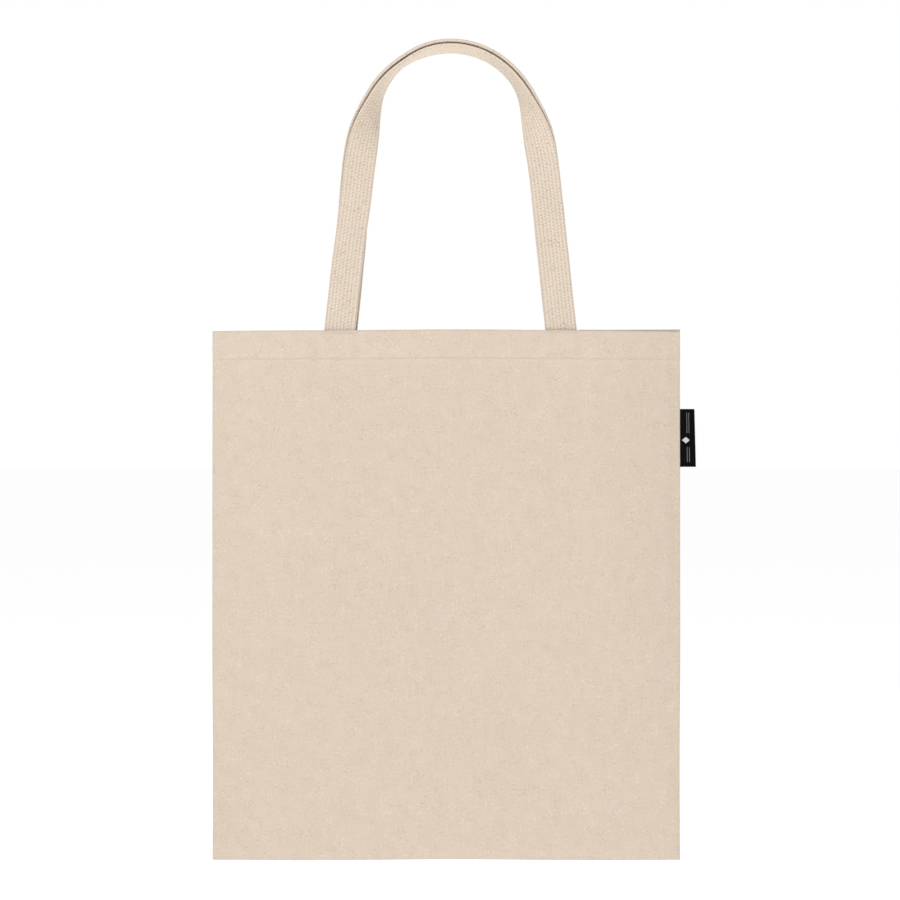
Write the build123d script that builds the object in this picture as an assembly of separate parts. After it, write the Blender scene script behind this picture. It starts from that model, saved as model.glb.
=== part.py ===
from build123d import *
import math
import os

# A flat canvas tote bag with two webbing handles and a folded label in its right side seam.
# The row's origin is the underside of the front handle's crown, where a hand or a hook carries the bag.
# +Z is up, the front of the bag faces -Y, and the label is on the +X side. Millimetres.

os.makedirs("parts", exist_ok=True)

# ---- driving dimensions ----
BAG_WIDTH = 387.5
BAG_HEIGHT = 438.0
BAG_OFFSET = -3.6  # the handles are sewn this far to the right of the bag's middle
CANVAS = 0.8
SEAM_PLY = 1.6  # thickness of the turned-in seam edges between the two panels
SEAM_WIDTH = 10.0
HEM_DEPTH = 26.5

MOUTH_BOW = 16.0  # how far the front stands forward of its side seams at the mouth
LEAST_BOW = 0.6  # the same at the bottom seam
BOW_FALL = 2.4  # exponent of the bow's fall from mouth to bottom
FLAT_HALF = 110.0  # half of the flat middle of the front, which the handles hold straight
LEVELS = (0.0, 0.06, 0.25, 0.5, 0.7, 0.85, 0.95, 1.0)  # shares of the height, from the mouth down

WEB_WIDTH = 25.4
WEB_THICK = 2.2
SEWN_LENGTH = 24.5  # length of webbing inside the mouth, at each end
CROWN_RADIUS = 66.0
CROWN_TURN = 68.5  # degrees, each side of the crown's middle
SHOULDER_RADIUS = 250.0
LEG_LEAN = 6.0  # degrees from upright
LEG_LENGTH = 126.0
CROWN_GAP = 1.4  # between the two nested handles
NEST_END = 80.0  # distance along the webbing, from the crown's middle, to which they stay nested
REAR_SHIFT = 0.6  # the rear handle is sewn this far to the right of the front one
TWIST_MIDDLE = 99.0  # distance along the webbing, from the crown's middle, to the middle of the twist
TWIST_LENGTH = 30.0
FRONT_BEND = 1.6  # how far the front handle's left leg bends to the right at its middle
REAR_BEND = -0.4  # the same of the rear handle, whose edge shows on the left
BEND_PLACE = 150.0  # from the crown's middle, along the webbing
BEND_LENGTH = 45.0
SECTIONS = 60

LABEL_HEIGHT = 48.0
LABEL_DROP = 64.2  # from the mouth to the label's top
LABEL_PROUD = 12.4
LABEL_PLY = 0.5
LABEL_FOLD_GAP = 0.2
LABEL_TAIL = 8.0
LABEL_PIVOT = 1.0  # from the seam's edge to the line that the label bends about

STITCH_PITCH = 3.0
STITCH_LENGTH = 2.1
THREAD = 0.45
PROUD = 0.2  # how far a stitch stands out of the front and out of the hems
HEM_ROW_DROP = 23.3
HEM_ROW_INSET = 2.5  # from the side seams to the ends of the hem's rows
EDGE_ROW_DROP = 2.2
EDGE_ROW_OVERRUN = 2.0
SEAM_ROW_INSET = 1.2
OVERLOCK_WIDTH = 4.0
OVERLOCK_THREAD = 0.3

JOINT_GAP = 0.3
SNUG = 0.05  # room between layers that only touch

# ---- derived values ----
lean = math.radians(LEG_LEAN)
crown_end = math.radians(90.0 - CROWN_TURN)  # the path's angle from upright where the crown ends
crown_arc = CROWN_RADIUS * math.radians(CROWN_TURN)
shoulder_arc = SHOULDER_RADIUS * (crown_end - lean)
path_half = crown_arc + shoulder_arc + LEG_LENGTH

crown_x = CROWN_RADIUS * math.cos(crown_end)
crown_z = WEB_THICK / 2 - CROWN_RADIUS * (1 - math.sin(crown_end))
shoulder_x = crown_x + SHOULDER_RADIUS * (math.cos(lean) - math.cos(crown_end))
shoulder_z = crown_z - SHOULDER_RADIUS * (math.sin(crown_end) - math.sin(lean))
mouth_z = shoulder_z - LEG_LENGTH * math.cos(lean)
handle_x = shoulder_x + LEG_LENGTH * math.sin(lean)
bottom_z = mouth_z - BAG_HEIGHT

side_x = BAG_WIDTH / 2
edge_y = MOUTH_BOW / 2 - SEAM_PLY / 2  # the front's inner face at its side seams
back_y = edge_y + SEAM_PLY  # inner face of the back
front_y = edge_y - MOUTH_BOW  # inner face of the front at the mouth
web_front_y = front_y + CANVAS + WEB_THICK / 2 + 2 * SNUG
web_back_y = back_y - CANVAS - WEB_THICK / 2 - 2 * SNUG


# ---- bag outline ----
def bow(share):
    """How far the front stands forward of its side seams, at a share of the height below the mouth."""
    return MOUTH_BOW - (MOUTH_BOW - LEAST_BOW) * share**BOW_FALL


def front_line(x, share):
    """The front's inner face in Y at a distance x from the bag's middle."""
    depth = bow(share)
    run = side_x - FLAT_HALF
    radius = (run**2 + depth**2) / (2 * depth)
    past = max(0.0, abs(x) - FLAT_HALF)
    return edge_y - depth + radius - math.sqrt(radius**2 - past**2)


def front_layer(share, inner, thickness, half_width):
    """A level slice of one cloth layer of the front: flat between the handles, round towards the seams."""
    z = mouth_z - share * BAG_HEIGHT
    flat_y = front_line(0, share)
    end_y = front_line(half_width, share)
    edges = []
    for y in (inner, inner - thickness):
        start = (-FLAT_HALF, flat_y + y)
        end = (FLAT_HALF, flat_y + y)
        edges.append(Line(start, end))
        edges.append(TangentArc(start, (-half_width, end_y + y), tangent=(-1, 0)))
        edges.append(TangentArc(end, (half_width, end_y + y), tangent=(1, 0)))
    for side in (-half_width, half_width):
        edges.append(Line((side, end_y + inner), (side, end_y + inner - thickness)))
    return Pos(BAG_OFFSET, 0, z) * make_face(edges)


def block(x, y, z):
    """A box from its lowest and highest X, Y and Z, with X counted from the bag's middle."""
    solid = Box(x[1] - x[0], y[1] - y[0], z[1] - z[0], align=(Align.MIN, Align.MIN, Align.MIN))
    return Pos(BAG_OFFSET + x[0], y[0], z[0]) * solid


# ---- webbing ----
def ease(value):
    """0 below 0, 1 above 1 and smooth between."""
    value = min(1.0, max(0.0, value))
    return value * value * (3 - 2 * value)


def bend(along, rear):
    """How far a handle's left leg is bent to the right at a distance along the webbing."""
    most = REAR_BEND if rear else FRONT_BEND
    return most * math.exp(-(((along + BEND_PLACE) / BEND_LENGTH) ** 2))


def path_point(along):
    """X, Z and the angle from upright at a distance along the webbing from the crown's middle."""
    side = math.copysign(1.0, along)
    run = abs(along)
    if run <= crown_arc:
        angle = math.pi / 2 - run / CROWN_RADIUS
        x = CROWN_RADIUS * math.cos(angle)
        z = WEB_THICK / 2 - CROWN_RADIUS * (1 - math.sin(angle))
    elif run <= crown_arc + shoulder_arc:
        angle = crown_end - (run - crown_arc) / SHOULDER_RADIUS
        x = crown_x + SHOULDER_RADIUS * (math.cos(angle) - math.cos(crown_end))
        z = crown_z - SHOULDER_RADIUS * (math.sin(crown_end) - math.sin(angle))
    else:
        angle = lean
        straight = run - crown_arc - shoulder_arc
        x = shoulder_x + straight * math.sin(lean)
        z = shoulder_z - straight * math.cos(lean)
    return side * x, z, side * angle


def twist(run):
    """How far the webbing has turned from facing forwards, 0, to facing into the arch, 90 degrees."""
    share = 0.5 * (1 + math.tanh((TWIST_MIDDLE - run) / TWIST_LENGTH))
    flat_end = 0.5 * (1 + math.tanh((TWIST_MIDDLE - path_half) / TWIST_LENGTH))
    flat_crown = 0.5 * (1 + math.tanh(TWIST_MIDDLE / TWIST_LENGTH))
    return math.pi / 2 * min(1.0, max(0.0, (share - flat_end) / (flat_crown - flat_end)))


def web_section(along, rear):
    """The webbing's cross-section at a distance along it from the crown's middle."""
    x, z, angle = path_point(along)
    run = abs(along)
    turned = twist(run)
    x += bend(along, rear)
    leg = ease((run - NEST_END / 2) / (path_half - NEST_END / 2))
    inwards = Vector(-math.copysign(1.0, along) * math.cos(angle), 0, -abs(math.sin(angle)))
    tangent = Vector(math.sin(angle), 0, -math.cos(angle)) * math.copysign(1.0, along)
    face = Vector(0, -1, 0) * math.cos(turned) + inwards * math.sin(turned)
    middle = Vector(x, web_front_y * leg, z)
    if rear:
        spread = ease((run - NEST_END) / (path_half - NEST_END))
        apart = WEB_THICK + CROWN_GAP
        apart += (web_back_y - web_front_y - apart) * spread
        middle = middle - face * apart + Vector(REAR_SHIFT * spread, 0, 0)
    across = tangent.cross(face).normalized()
    half = across * (WEB_WIDTH / 2)
    deep = face * (WEB_THICK / 2)
    corners = [middle + half + deep, middle - half + deep, middle - half - deep, middle + half - deep]
    return make_face(Polyline(*corners, close=True))


def webbing(rear):
    """A whole handle, from the end sewn inside the left of the hem to the end inside the right."""
    reach = path_half + SEWN_LENGTH
    step = 2 * reach / SECTIONS
    faces = [web_section(-reach + step * i, rear) for i in range(SECTIONS + 1)]
    return loft(faces, ruled=True)


def above(solid, z):
    """The part of a solid above a height."""
    return split(solid, bisect_by=Plane((0, 0, z), z_dir=(0, 0, 1)), keep=Keep.TOP)


def below(solid, z):
    """The part of a solid below a height."""
    return split(solid, bisect_by=Plane((0, 0, z), z_dir=(0, 0, 1)), keep=Keep.BOTTOM)


def handle(rear):
    """The free loop of a handle, which ends just above the mouth."""
    return above(webbing(rear), mouth_z + JOINT_GAP)


def handle_ends(rear):
    """The two ends of a handle's webbing, sewn flat to the inside of the hem."""
    return below(webbing(rear), mouth_z)


# ---- cloth ----
def front_panel():
    return loft([front_layer(share, 0.0, CANVAS, side_x) for share in LEVELS])


def back_panel():
    return block((-side_x, side_x), (back_y, back_y + CANVAS), (bottom_z, mouth_z))


def hem(rear):
    """The turned-in top edge of a panel."""
    half_width = side_x - SEAM_WIDTH - SNUG
    if rear:
        inner = back_y - SNUG
        return block((-half_width, half_width), (inner - CANVAS, inner), (mouth_z - HEM_DEPTH, mouth_z))
    shares = (0.0, HEM_DEPTH / BAG_HEIGHT)
    return loft([front_layer(share, CANVAS + SNUG, CANVAS, half_width) for share in shares])


def seam_allowance(side):
    """The edges of both panels, turned inwards together at a side seam."""
    x = sorted((side * side_x, side * (side_x - SEAM_WIDTH)))
    y = (edge_y + OVERLOCK_THREAD, back_y - OVERLOCK_THREAD)
    strip = block(x, y, (bottom_z, mouth_z))
    if side > 0:
        strip -= label_tail()
    return strip


def bottom_allowance():
    half = side_x - SEAM_WIDTH - SNUG
    y = (edge_y + OVERLOCK_THREAD, back_y - OVERLOCK_THREAD)
    return block((-half, half), y, (bottom_z, bottom_z + SEAM_WIDTH))


# ---- thread ----
def side_overlock(side):
    """Thread wound round the raw edge of a side seam: a channel open towards the seam."""
    raw = side * (side_x - SEAM_WIDTH)
    x = sorted((raw - side * OVERLOCK_THREAD, raw + side * OVERLOCK_WIDTH))
    low = bottom_z + (SEAM_WIDTH + OVERLOCK_THREAD + SNUG)
    high = mouth_z - HEM_DEPTH - SNUG
    channel = block(x, (edge_y + SNUG, back_y - SNUG), (low, high))
    channel -= seam_allowance(side)
    return channel - label_tail()


def bottom_overlock():
    half = side_x - SEAM_WIDTH - OVERLOCK_THREAD - 2 * SNUG
    raw = bottom_z + SEAM_WIDTH
    z = (raw - OVERLOCK_WIDTH, raw + OVERLOCK_THREAD)
    channel = block((-half, half), (edge_y + SNUG, back_y - SNUG), z)
    return channel - bottom_allowance()


def stitch_row(start, end):
    """Places of the stitches of a row, evenly spaced and kept inside its ends."""
    count = int((end - start) / STITCH_PITCH)
    spare = (end - start - count * STITCH_PITCH) / 2
    return [start + spare + STITCH_PITCH * (i + 0.5) for i in range(count)]


def over_handle(x, rear):
    """Whether a place along the mouth, counted from the bag's middle, lies over a handle end."""
    shift = REAR_SHIFT if rear else 0.0
    return any(abs(x + BAG_OFFSET - shift - side * handle_x) < WEB_WIDTH / 2 + 3 for side in (-1, 1))


def mouth_stitch(x, z, rear):
    """One stitch through the panel and what lies behind it, flush with the back so that it lies flat."""
    deep = 2 * CANVAS + 2 * SNUG + (WEB_THICK if over_handle(x, rear) else 0.0)
    seam_y = edge_y + SEAM_PLY / 2
    in_seam = abs(x) > side_x - SEAM_WIDTH - STITCH_LENGTH
    if rear:
        outer = back_y + CANVAS
        inner = seam_y + SNUG if in_seam else outer - deep - PROUD
        y = (inner, outer)
    else:
        outer = front_line(x, (mouth_z - z) / BAG_HEIGHT) - CANVAS
        inner = min(seam_y - SNUG, outer + deep + PROUD)
        y = (outer - PROUD, inner)
    return block((x - STITCH_LENGTH / 2, x + STITCH_LENGTH / 2), y, (z - THREAD / 2, z + THREAD / 2))


def hem_stitching(rear):
    """The row round the mouth, which passes through the side seams' edges too."""
    reach = side_x - HEM_ROW_INSET
    row = stitch_row(-reach, reach)
    return Compound([mouth_stitch(x, mouth_z - HEM_ROW_DROP, rear) for x in row])


def handle_stitching(rear):
    """A short row near the mouth edge at each handle end."""
    shift = REAR_SHIFT if rear else 0.0
    reach = WEB_WIDTH / 2 + EDGE_ROW_OVERRUN
    stitches = []
    for side in (-1, 1):
        middle = side * handle_x + shift - BAG_OFFSET
        for x in stitch_row(middle - reach, middle + reach):
            stitches.append(mouth_stitch(x, mouth_z - EDGE_ROW_DROP, rear))
    return Compound(stitches)


def side_stitching(side):
    """The row that joins the panels at a side seam, hidden between them."""
    x = side * (side_x - SEAM_ROW_INSET)
    across = (x - THREAD / 2, x + THREAD / 2)
    deep = (edge_y + SNUG, back_y - SNUG)
    half = STITCH_LENGTH / 2
    row = stitch_row(bottom_z, mouth_z)
    return Compound([block(across, deep, (z - half, z + half)) for z in row])


def bottom_stitching():
    z = bottom_z + SEAM_ROW_INSET
    deep = (edge_y + SNUG, back_y - SNUG)
    half = STITCH_LENGTH / 2
    row = stitch_row(SEAM_WIDTH - side_x, side_x - SEAM_WIDTH)
    return Compound([block((x - half, x + half), deep, (z - THREAD / 2, z + THREAD / 2)) for x in row])


# ---- label ----
label_y = (edge_y - CANVAS + back_y + CANVAS) / 2
label_z = (mouth_z - LABEL_DROP - LABEL_HEIGHT, mouth_z - LABEL_DROP)
label_half = LABEL_PLY + LABEL_FOLD_GAP / 2


def side_label():
    """A ribbon folded in half, its fold outwards."""
    start = side_x + LABEL_PIVOT
    end = side_x + LABEL_PROUD
    outer = block((start, end), (label_y - label_half, label_y + label_half), label_z)
    fold_edges = outer.edges().filter_by(Axis.Z).sort_by(Axis.X)[-2:]
    outer = fillet(fold_edges, label_half * 0.9)
    gap = LABEL_FOLD_GAP / 2
    return outer - block((start, end - LABEL_PLY), (label_y - gap, label_y + gap), label_z)


def label_tail():
    """The label's sewn-in ends, which lie together between the two panels' edges."""
    y = (label_y - LABEL_PLY / 2, label_y + LABEL_PLY / 2)
    return block((side_x - LABEL_TAIL, side_x), y, label_z)


# ---- export ----
nodes = {
    "front_panel": front_panel(),
    "back_panel": back_panel(),
    "front_hem": hem(rear=False),
    "back_hem": hem(rear=True),
    "left_seam_allowance": seam_allowance(-1),
    "right_seam_allowance": seam_allowance(1),
    "bottom_seam_allowance": bottom_allowance(),
    "left_overlock": side_overlock(-1),
    "right_overlock": side_overlock(1),
    "bottom_overlock": bottom_overlock(),
    "left_seam_stitching": side_stitching(-1),
    "right_seam_stitching": side_stitching(1),
    "bottom_seam_stitching": bottom_stitching(),
    "front_hem_stitching": hem_stitching(rear=False),
    "back_hem_stitching": hem_stitching(rear=True),
    "front_handle_stitching": handle_stitching(rear=False),
    "rear_handle_stitching": handle_stitching(rear=True),
    "front_handle_ends": handle_ends(rear=False),
    "rear_handle_ends": handle_ends(rear=True),
    "label_tail": label_tail(),
    "front_handle": handle(rear=False),
    "rear_handle": handle(rear=True),
    "side_label": side_label(),
}

for name, solid in nodes.items():
    export_step(solid, f"parts/{name}.step")

print(f"mouth at z {mouth_z:.2f}, bottom at z {bottom_z:.2f}, handle ends at x {handle_x:.2f}")
print(f"webbing length in sight {2 * path_half:.1f}, cut {2 * (path_half + SEWN_LENGTH):.1f}")
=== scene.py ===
import math

import bpy
import numpy as np
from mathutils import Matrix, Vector


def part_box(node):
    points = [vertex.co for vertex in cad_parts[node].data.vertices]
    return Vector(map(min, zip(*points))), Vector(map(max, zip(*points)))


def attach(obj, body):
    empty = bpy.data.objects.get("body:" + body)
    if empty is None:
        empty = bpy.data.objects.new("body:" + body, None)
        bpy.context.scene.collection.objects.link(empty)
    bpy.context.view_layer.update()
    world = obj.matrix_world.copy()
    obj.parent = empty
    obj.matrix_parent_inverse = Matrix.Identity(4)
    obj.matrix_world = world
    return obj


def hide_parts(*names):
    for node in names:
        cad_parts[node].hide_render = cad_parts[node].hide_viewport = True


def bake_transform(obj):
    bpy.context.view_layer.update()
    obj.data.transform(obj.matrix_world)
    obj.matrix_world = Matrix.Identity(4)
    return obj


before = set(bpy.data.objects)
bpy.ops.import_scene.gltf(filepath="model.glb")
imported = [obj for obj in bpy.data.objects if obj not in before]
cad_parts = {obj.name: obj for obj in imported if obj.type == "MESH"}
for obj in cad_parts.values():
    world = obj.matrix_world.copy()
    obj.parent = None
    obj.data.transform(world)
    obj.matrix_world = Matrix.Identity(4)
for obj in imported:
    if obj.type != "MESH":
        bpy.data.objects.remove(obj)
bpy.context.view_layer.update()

# A flat cotton canvas tote bag that hangs by its two webbing handles, with a black label in its side seam.
# Metres, in the CAD's frame: +Z up, the front of the bag faces -Y, and the label is on the +X side.

MM = 0.001

# ---- sizes of the cloth and where it lies, from the frame ----
panel_low, panel_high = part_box("back_panel")
allowance_low, allowance_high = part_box("left_seam_allowance")
hem_low, hem_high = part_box("back_hem")
front_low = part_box("front_panel")[0]
label_low, label_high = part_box("side_label")
MOUTH_Z = panel_high[2]
BOTTOM_Z = panel_low[2]
BAG_X = (panel_low[0] + panel_high[0]) / 2
HALF = (panel_high[0] - panel_low[0]) / 2
HEIGHT = MOUTH_Z - BOTTOM_Z
CANVAS = panel_high[1] - panel_low[1]
BACK_Y = panel_low[1]  # inner face of the back
SEAM_PLY = 2 * CANVAS
EDGE_Y = BACK_Y - SEAM_PLY  # inner face of the front at the side seams
BOW = EDGE_Y - (front_low[1] + CANVAS)  # how far the front stands forward at the mouth
ALLOWANCE = allowance_high[0] - allowance_low[0]
HEM = hem_high[2] - hem_low[2]

LEAST_BOW = 0.6 * MM  # the same at the bottom seam
BOW_FALL = 2.4  # exponent of the bow's fall from mouth to bottom
FLAT_HALF = 110 * MM  # half of the flat middle that the handles hold straight
PINCH = 12 * MM  # width over which the front turns flat again to meet its seam
FOLD = 0.45 * MM  # radius of a folded edge, at the middle of the cloth
BACK_LIFT = 1.9 * MM  # how far the back's mouth edge rises above the front's, right of the handles
SWELL = 0.55 * MM  # height of the slow unevenness of a panel
RIPPLE = 0.10 * MM  # height of its quick unevenness
ROW_PUCKER = 0.08 * MM
SEAM_PUCKER = 0.09 * MM
ROW_GROOVE = 0.03 * MM
HOLE_DEPTH = 0.10 * MM  # of the needle holes between two stitches
HEM_PUFF = 0.10 * MM  # how far the hem swells above its row of stitches
HEM_STEP = 0.34 * MM  # how far the doubled cloth of the hem stands proud
EDGE_ROLL = 0.40 * MM  # how far the cloth falls back at its seams
HANDLE_PROUD = 0.45 * MM  # how far the sewn ends of a handle push the hem out

# ---- webbing, whose route repeats the CAD's ----
WEB_WIDTH = 25.4 * MM
WEB_PLY = 2.2 * MM
WEB_RELIEF = 0.42 * MM  # height of the weave
SEWN_LENGTH = 24.5 * MM  # length of webbing inside the mouth, at each end
CROWN_RADIUS = 66 * MM
CROWN_TURN = 68.5  # degrees, each side of the crown's middle
SHOULDER_RADIUS = 250 * MM
LEG_LEAN = 6.0  # degrees from upright
LEG_LENGTH = 126 * MM
CROWN_GAP = 1.4 * MM  # between the two nested handles
NEST_END = 80 * MM  # distance along the webbing, from the crown's middle, to which they stay nested
REAR_SHIFT = 0.6 * MM  # the rear handle is sewn this far to the right of the front one
TWIST_MIDDLE = 99 * MM
TWIST_LENGTH = 30 * MM
OVERTURN = math.radians(6)  # how much further the left of the crown is twisted than the right
OVERTURN_PLACE = 42 * MM
OVERTURN_LENGTH = 18 * MM
FRONT_BEND = 1.6 * MM  # how far the front handle's left leg bends to the right at its middle
REAR_BEND = -0.4 * MM
BEND_PLACE = 150 * MM
BEND_LENGTH = 45 * MM
WEB_COLUMNS = 8
SELVEDGE = 1.0 * MM  # width of the smooth edge, each side
FLOAT_LENGTH = 2.7 * MM  # length of one raised float of the weave
WEB_CORNER = 0.8 * MM  # width of the round of the section's edge
WEB_STEP = 0.6 * MM

# ---- thread ----
STITCH = 3 * MM
HEM_ROW = 23.3 * MM  # below the mouth
HEM_INSET = 2.5 * MM  # from the side seams to the ends of that row
EDGE_ROW = 2.2 * MM  # below the mouth, over the handles' ends
EDGE_OVERRUN = 2 * MM  # how far that row runs past a handle, each side
THREAD_RADIUS = 0.2 * MM
SEAM_ROW = 1.2 * MM  # from the fold of a seam to its stitches
SEAM_REACH = 0.45  # half of a seam stitch, as a share of the pitch
SEAM_BULGE = 0.15 * MM
OVERLOCK_WIDTH = 4 * MM
OVERLOCK_RADIUS = 0.13 * MM
OVERLOCK_ROOM = 0.1 * MM  # between the raw edge and its thread

# ---- label ----
LABEL_TAIL = 8 * MM
LABEL_PLY = 0.5 * MM
LABEL_FLARE = 1.2 * MM  # how much further the label's lower corner reaches
STRIPE_SPANS = ((3.0 * MM, 20.5 * MM), (31.5 * MM, 44.5 * MM))  # below the label's top
STRIPES_OUT = (5.6 * MM, 7.3 * MM)  # from the seam
STRIPE_HALF = 0.25 * MM
LOZENGE_OUT = 4.6 * MM  # from the seam to its middle
LOZENGE_DROP = 25.8 * MM
LOZENGE_HALF = (3.2 * MM, 2.7 * MM)  # along the ribbon and down it

# ---- camera ----
CAMERA_BACK = 1.230  # from the front at the mouth
CAMERA_DROP = 98.2 * MM  # below the mouth
CAMERA_LEFT = 0.5 * MM
CAMERA_LENS = 60.2
FLOOR_DROP = 0.4  # from the bag's bottom down to the floor
FLOOR_HALF = 60

lean = math.radians(LEG_LEAN)
crown_end = math.radians(90 - CROWN_TURN)
crown_arc = CROWN_RADIUS * math.radians(CROWN_TURN)
shoulder_arc = SHOULDER_RADIUS * (crown_end - lean)
path_half = crown_arc + shoulder_arc + LEG_LENGTH
crown_x = CROWN_RADIUS * math.cos(crown_end)
crown_z = WEB_PLY / 2 - CROWN_RADIUS * (1 - math.sin(crown_end))
shoulder_x = crown_x + SHOULDER_RADIUS * (math.cos(lean) - math.cos(crown_end))
shoulder_z = crown_z - SHOULDER_RADIUS * (math.sin(crown_end) - math.sin(lean))
handle_x = shoulder_x + LEG_LENGTH * math.sin(lean)
web_front_y = front_low[1] + 2 * CANVAS + WEB_PLY / 2 + 0.1 * MM
web_back_y = BACK_Y - CANVAS - WEB_PLY / 2 - 0.1 * MM


# ---- helpers ----
def smooth(value):
    """0 below 0, 1 above 1 and smooth between."""
    value = np.clip(value, 0, 1)
    return value * value * (3 - 2 * value)


def bell(distance, width):
    return np.exp(-((distance / width) ** 2))


def waves(x, z, seed, count, shortest, longest):
    """Smooth random waviness between about -1 and 1, the same for the same seed."""
    random = np.random.default_rng(seed)
    total = np.zeros(np.broadcast(x, z).shape)
    for _ in range(count):
        length = random.uniform(shortest, longest)
        turn = random.uniform(0, math.pi)
        phase = random.uniform(0, 2 * math.pi)
        total += np.sin(2 * math.pi * (x * math.cos(turn) + z * math.sin(turn)) / length + phase)
    return total / math.sqrt(count)


def mesh_object(name, points, faces, attributes, materials, face_materials=None):
    """A smooth-shaded mesh with named vertex attributes, of one or three numbers each."""
    mesh = bpy.data.meshes.new(name)
    mesh.from_pydata(points.tolist(), [], faces)
    mesh.update()
    for key, values in attributes.items():
        kind, field = ("FLOAT", "value") if values.ndim == 1 else ("FLOAT_VECTOR", "vector")
        attribute = mesh.attributes.new(key, kind, "POINT")
        attribute.data.foreach_set(field, values.astype(np.float32).ravel())
    for material in materials:
        mesh.materials.append(material)
    if face_materials is not None:
        mesh.polygons.foreach_set("material_index", face_materials)
    mesh.polygons.foreach_set("use_smooth", np.ones(len(mesh.polygons), bool))
    made = bpy.data.objects.new(name, mesh)
    bpy.context.scene.collection.objects.link(made)
    return made


def shell(outer, inner, keep):
    """Points and faces of a closed cloth shell between two grids, over the cells that keep names."""
    rows, columns = outer.shape[:2]
    number = np.arange(rows * columns).reshape(rows, columns)
    cells = np.stack([number[:-1, :-1], number[1:, :-1], number[1:, 1:], number[:-1, 1:]], -1)[keep]
    count = rows * columns
    points = np.concatenate([outer.reshape(-1, 3), inner.reshape(-1, 3)])
    starts = cells.ravel()
    ends = np.roll(cells, -1, axis=1).ravel()
    edges = set(zip(starts.tolist(), ends.tolist()))
    rim = [(b, a, a + count, b + count) for a, b in edges if (b, a) not in edges]
    faces = cells.tolist() + (cells[:, ::-1] + count).tolist() + rim
    used = np.zeros(2 * count, bool)
    used[np.array(faces).ravel()] = True
    renumber = np.cumsum(used) - 1
    return points[used], renumber[np.array(faces)].tolist(), used


def tubes(name, routes, radius, material, sides=6):
    """Lengths of thread, each a closed tube with tapered ends along its own points, in one mesh."""
    points = []
    faces = []
    along = []
    for route in routes:
        route = np.array(route)
        ahead = np.gradient(route, axis=0)
        ahead /= np.linalg.norm(ahead, axis=1)[:, None]
        away = np.array([0.0, 1.0, 0.0])
        if abs(ahead[:, 1]).max() > 0.9:
            away = np.array([0.31, 0.2, 0.93])
        side = np.cross(ahead, away)
        side /= np.linalg.norm(side, axis=1)[:, None]
        other = np.cross(ahead, side)
        base = len(points)
        last = len(route) - 1
        for i, point in enumerate(route):
            size = radius * (0.45 if i in (0, last) else 1.0)
            for k in range(sides):
                turn = 2 * math.pi * k / sides
                points.append(point + size * (side[i] * math.cos(turn) + other[i] * math.sin(turn)))
                along.append((i * 0.5 * MM, turn * radius, base * 0.1 * MM))
        for i in range(last):
            for k in range(sides):
                a = base + i * sides + k
                b = base + i * sides + (k + 1) % sides
                faces.append((a, b, b + sides, a + sides))
        faces.append(tuple(base + k for k in reversed(range(sides))))
        faces.append(tuple(base + last * sides + k for k in range(sides)))
    return mesh_object(name, np.array(points), faces, {"flat": np.array(along)}, [material])


# ---- materials ----
def add(tree, kind, inputs=None, **settings):
    """A shader node, with its inputs set to values or linked to sockets."""
    made = tree.nodes.new("ShaderNode" + kind)
    for key, value in settings.items():
        setattr(made, key, value)
    for key, value in (inputs or {}).items():
        if isinstance(value, bpy.types.NodeSocket):
            tree.links.new(value, made.inputs[key])
        else:
            made.inputs[key].default_value = value
    return made


def maths(tree, operation, first, second=0.0, third=0.0):
    return add(tree, "Math", {0: first, 1: second, 2: third}, operation=operation).outputs[0]


def noise(tree, place, scale, detail=2.0, roughness=0.5):
    """Noise between 0 and 1 whose features are about as long as scale says, in metres, along each axis."""
    each = tuple(1 / length for length in scale)
    stretched = add(tree, "Mapping", {"Vector": place, "Scale": each}).outputs[0]
    inputs = {"Vector": stretched, "Scale": 1.0, "Detail": detail, "Roughness": roughness}
    return add(tree, "TexNoise", inputs).outputs[0]


def tint(tree, parts):
    """1 plus each noise, centred and multiplied by its strength."""
    total = None
    for value, strength in parts:
        offset = 1 - 0.5 * strength if total is None else -0.5 * strength
        part = maths(tree, "MULTIPLY_ADD", value, strength, offset)
        total = part if total is None else maths(tree, "ADD", total, part)
    return total


def mix(tree, kind, factor, first, second):
    made = add(tree, "Mix", data_type="RGBA", blend_type=kind)
    for socket, value in ((made.inputs[0], factor), (made.inputs[6], first), (made.inputs[7], second)):
        if isinstance(value, bpy.types.NodeSocket):
            tree.links.new(value, socket)
        else:
            socket.default_value = value
    return made.outputs[2]


def specks(tree, place, size, least, gain):
    """Irregular specks, 0 to 1, where fine noise rises past a level and coarser noise lets them through."""
    fine = noise(tree, place, (size, size * 1.3, 9 * MM), detail=1)
    coarse = noise(tree, place, (size * 7, size * 8, 30 * MM), detail=2)
    both = maths(tree, "MULTIPLY_ADD", coarse, 0.5, maths(tree, "SUBTRACT", fine, 0.25))
    past = maths(tree, "MULTIPLY", maths(tree, "SUBTRACT", both, least), gain)
    return maths(tree, "MINIMUM", maths(tree, "MAXIMUM", past, 0.0), 1.0)


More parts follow.
